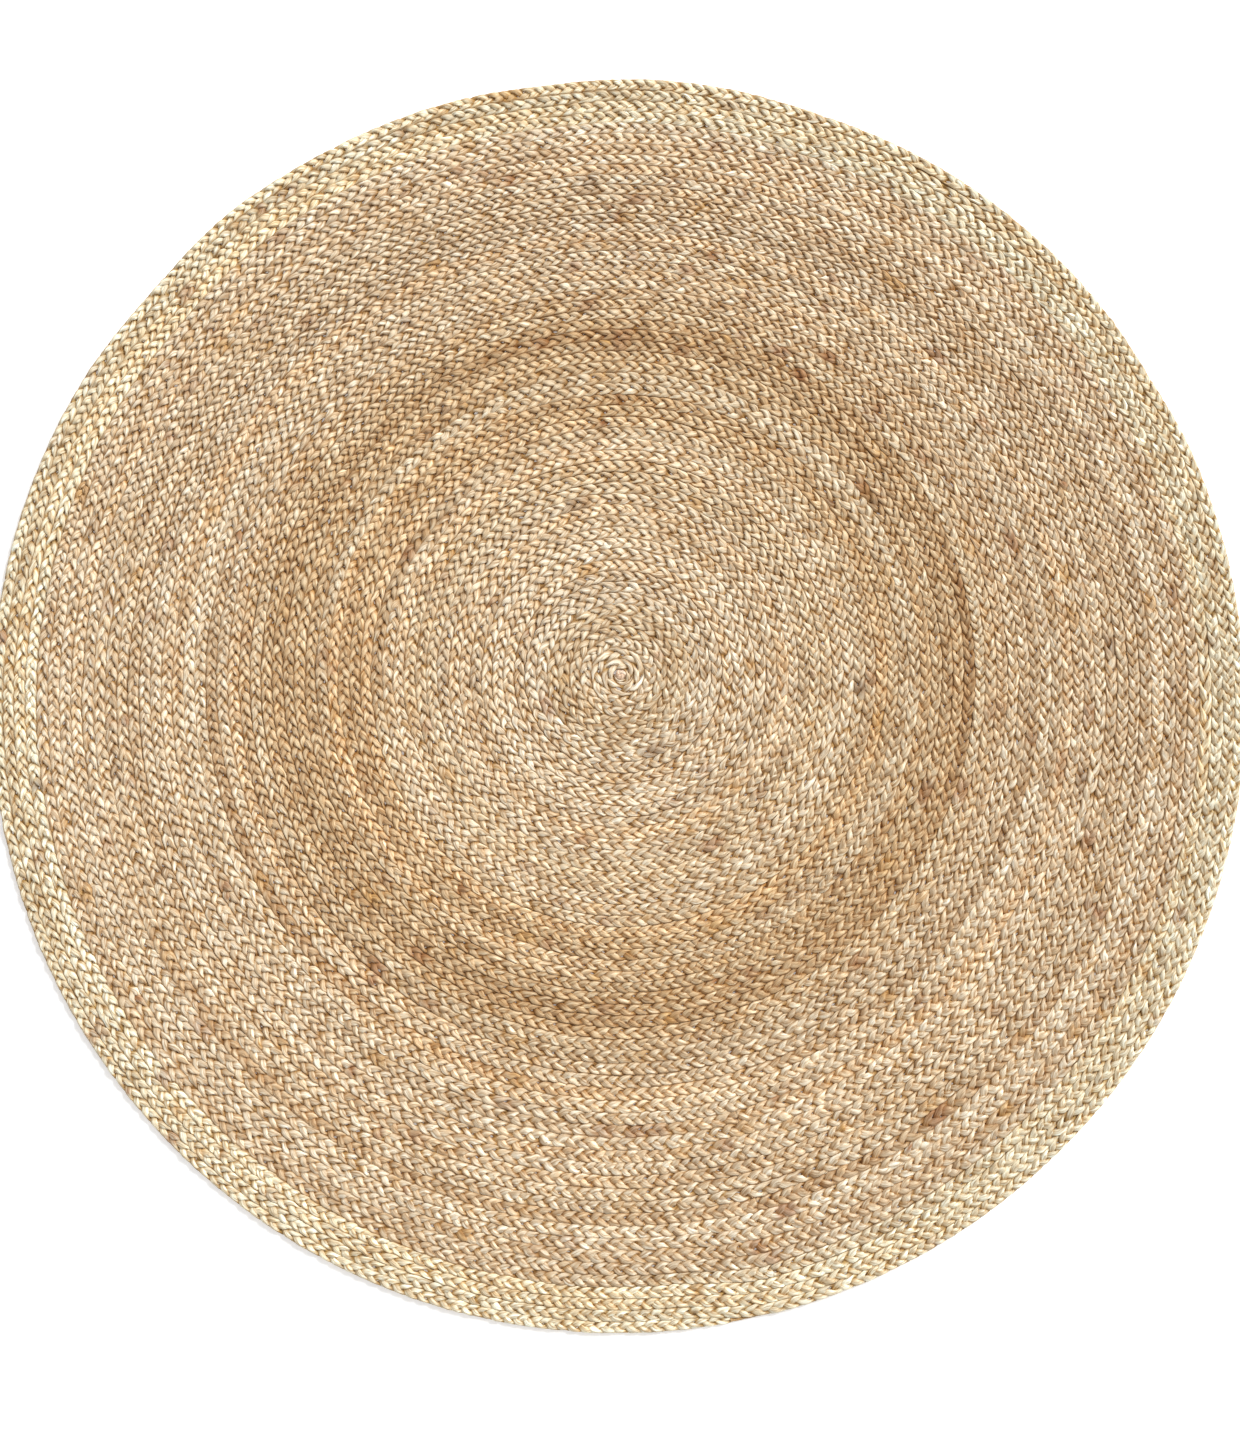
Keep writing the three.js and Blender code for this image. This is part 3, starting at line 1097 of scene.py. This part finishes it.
class RUG_OT_bind_tail(bpy.types.Operator):
    """Whip the tapered tail of the braid at the rim"""

    bl_idname = "rug.bind_tail"
    bl_label = "Bind Tail"

    winding: FloatProperty(
        name="Winding", description="Pitch of the winding", default=0.0017, unit="LENGTH"
    )

    def execute(self, context):
        coil = Coil(context.scene.rug_coil, context.scene.rug_plait)
        colours = context.scene.rug_colours
        material = jute_finish("whipping_jute", colours, 0.0003, 0.006)
        start, end = coil.turns - TAIL_BINDING_START, coil.turns - TAIL_BINDING_END
        turn, gone = coil.walk(start, end, TAIL_STEP)
        turn[0] += TAIL_PLAY
        inner, outer = coil.row(turn)
        half = (outer - inner) / 2
        angle = 2 * math.pi * np.arange(TAIL_SIDES) / TAIL_SIDES
        windings = gone[:, None] / self.winding + angle / (2 * math.pi)
        groove = TAIL_GROOVE * (1 - np.abs(np.sin(math.pi * windings)))
        wide = half[:, None] - groove
        deep = np.minimum(TAIL_HALF_HEIGHT, half * 0.9 + 0.0006)[:, None] - groove
        radius = ((inner + outer) / 2)[:, None] + wide * np.cos(angle)
        z = deep[:, :1] + 0.0003 + deep * np.sin(angle)
        x, y = coil.point(radius, turn[:, None])
        rings = np.stack([x, y, np.maximum(z, TAIL_FLOOR_PLAY)], -1)
        run = np.stack(
            [
                np.broadcast_to(gone[:, None], wide.shape),
                0 * wide,
                TAIL_RUN_RADIUS * np.broadcast_to(angle, wide.shape),
            ],
            -1,
        )
        mesh = tube_mesh(
            "tail_whipping",
            rings,
            {"jute_tone": plain_tone(colours.thread, rings, TAIL_TONE_SEED), "fibre_run": run},
            2,
        )
        add_piece(mesh.name, mesh, material, "wheat_jute", "tail_binding")
        return {"FINISHED"}


class RUG_OT_scatter_fibres(bpy.types.Operator):
    """Scatter the fine fibres that have come loose from the braid over its face"""

    bl_idname = "rug.scatter_fibres"
    bl_label = "Scatter Fibres"

    count: IntProperty(name="Count", description="How many fibres", default=420, min=1)
    thickness: FloatProperty(
        name="Thickness", description="Thickness of a fibre", default=0.0003, unit="LENGTH"
    )

    def execute(self, context):
        coil = Coil(context.scene.rug_coil, context.scene.rug_plait)
        colours = context.scene.rug_colours
        material = jute_finish("loose_jute", colours, 0.0003, 0.01)
        rng = np.random.default_rng(FIBRE_SEED)
        turn = 1 + (coil.turns - 1.6) * np.sqrt(rng.uniform(size=self.count))
        radius = coil.edge_radius(turn) - coil.pitch * rng.uniform(size=self.count)
        middle = np.stack(coil.point(radius, turn), -1)
        heading = math.radians(TAIL_ANGLE + 90) + 2 * math.pi * turn
        heading = heading + rng.normal(0, FIBRE_STRAYING, self.count)
        length = rng.uniform(*FIBRE_LENGTHS, self.count)
        bend = rng.normal(0, FIBRE_BEND, self.count)
        lift = rng.uniform(*FIBRE_LIFTS, self.count)
        share = np.linspace(-1, 1, FIBRE_SECTIONS)
        tubes, tones, runs = [], [], []
        for index in range(self.count):
            angle = heading[index] + bend[index] * share
            ahead = np.stack([np.cos(angle), np.sin(angle)], -1)
            step = length[index] / (FIBRE_SECTIONS - 1)
            flat = middle[index] + np.cumsum(ahead, axis=0) * step - ahead[0] * length[index] / 2
            height = RUG_THICKNESS + lift[index] + FIBRE_CLEARANCE - FIBRE_DIVE * share**4
            path = np.column_stack((flat, height))
            rings = thread_rings(path, self.thickness / 2 * (1 - 0.5 * share**4), FIBRE_SIDES)
            tubes.append(rings)
            tones.append(plain_tone(colours.pale, rings, FIBRE_TONE_SEED + index))
            runs.append(twisted_run(rings, path, 0.0002, 0.01))
        attributes = {"jute_tone": np.stack(tones), "fibre_run": np.stack(runs)}
        mesh = tube_mesh("loose_fibres", np.stack(tubes), attributes, self.count)
        add_piece(mesh.name, mesh, material, "pale_jute")
        return {"FINISHED"}


class RUG_OT_set_stage(bpy.types.Operator):
    """Set the floor, the soft light and the camera"""

    bl_idname = "rug.set_stage"
    bl_label = "Set Stage"

    def execute(self, context):
        stage = context.scene.rug_stage
        half = stage.floor_size / 2
        mesh = bpy.data.meshes.new("floor")
        corners = [(-half, -half, 0), (half, -half, 0), (half, half, 0), (-half, half, 0)]
        mesh.from_pydata(corners, [], [(0, 1, 2, 3)])
        floor = bpy.data.objects.new("floor", mesh)
        context.scene.collection.objects.link(floor)
        mesh.materials.append(floor_finish("pale_floor", stage.floor_colour, stage.floor_glow))

        lamp = bpy.data.lights.new("soft_lamp", "SUN")
        lamp.energy = stage.lamp_strength
        lamp.angle = stage.lamp_softness
        lamp.color = (1.0, 1.0, 0.985)
        holder = bpy.data.objects.new("soft_lamp", lamp)
        holder.rotation_euler = (0, math.pi / 2 - stage.lamp_height, stage.lamp_bearing)
        context.scene.collection.objects.link(holder)

        world = bpy.data.worlds.new("studio")
        world.use_nodes = True
        fill = world.node_tree.nodes["Background"]
        fill.inputs["Color"].default_value = (1.0, 1.0, 1.0, 1.0)
        fill.inputs["Strength"].default_value = stage.fill_strength
        context.scene.world = world
        context.scene.view_settings.view_transform = "Standard"

        lens = bpy.data.cameras.new("camera")
        lens.sensor_width = 36
        lens.lens = lens.sensor_width * stage.camera_height / stage.view_height
        camera = bpy.data.objects.new("camera", lens)
        camera.location = (*stage.view_middle, stage.camera_height)
        context.scene.collection.objects.link(camera)
        context.scene.camera = camera
        return {"FINISHED"}


# ---- Panel and registration -------------------------------------------------------------------


class RUG_PT_panel(bpy.types.Panel):
    bl_label = "Round Braided Rug"
    bl_idname = "RUG_PT_panel"
    bl_space_type = "VIEW_3D"
    bl_region_type = "UI"
    bl_category = "Rug"

    def draw(self, context):
        for title, group in SETTINGS:
            box = self.layout.box()
            box.label(text=title)
            settings = getattr(context.scene, group)
            for key in settings.__annotations__:
                box.prop(settings, key)
        for operator in MAKING_ORDER:
            self.layout.operator(operator.bl_idname)


SETTINGS = (
    ("Coil", "rug_coil"),
    ("Plait", "rug_plait"),
    ("Colours", "rug_colours"),
    ("Stage", "rug_stage"),
)
GROUPS = {
    "rug_coil": RugCoilSizes,
    "rug_plait": RugPlaitSizes,
    "rug_colours": RugJuteColours,
    "rug_stage": RugStageSettings,
}
MAKING_ORDER = (
    RUG_OT_set_stage,
    RUG_OT_plait_braid,
    RUG_OT_lace_seams,
    RUG_OT_bind_start,
    RUG_OT_bind_tail,
    RUG_OT_scatter_fibres,
)
CLASSES = (*GROUPS.values(), *MAKING_ORDER, RUG_PT_panel)


def register():
    for cls in CLASSES:
        bpy.utils.register_class(cls)
    for name, group in GROUPS.items():
        setattr(bpy.types.Scene, name, PointerProperty(type=group))


def unregister():
    for name in GROUPS:
        delattr(bpy.types.Scene, name)
    for cls in reversed(CLASSES):
        bpy.utils.unregister_class(cls)


def main():
    register()
    for operator in MAKING_ORDER:
        family, name = operator.bl_idname.split(".")
        getattr(getattr(bpy.ops, family), name)()


if __name__ == "__main__":
    main()
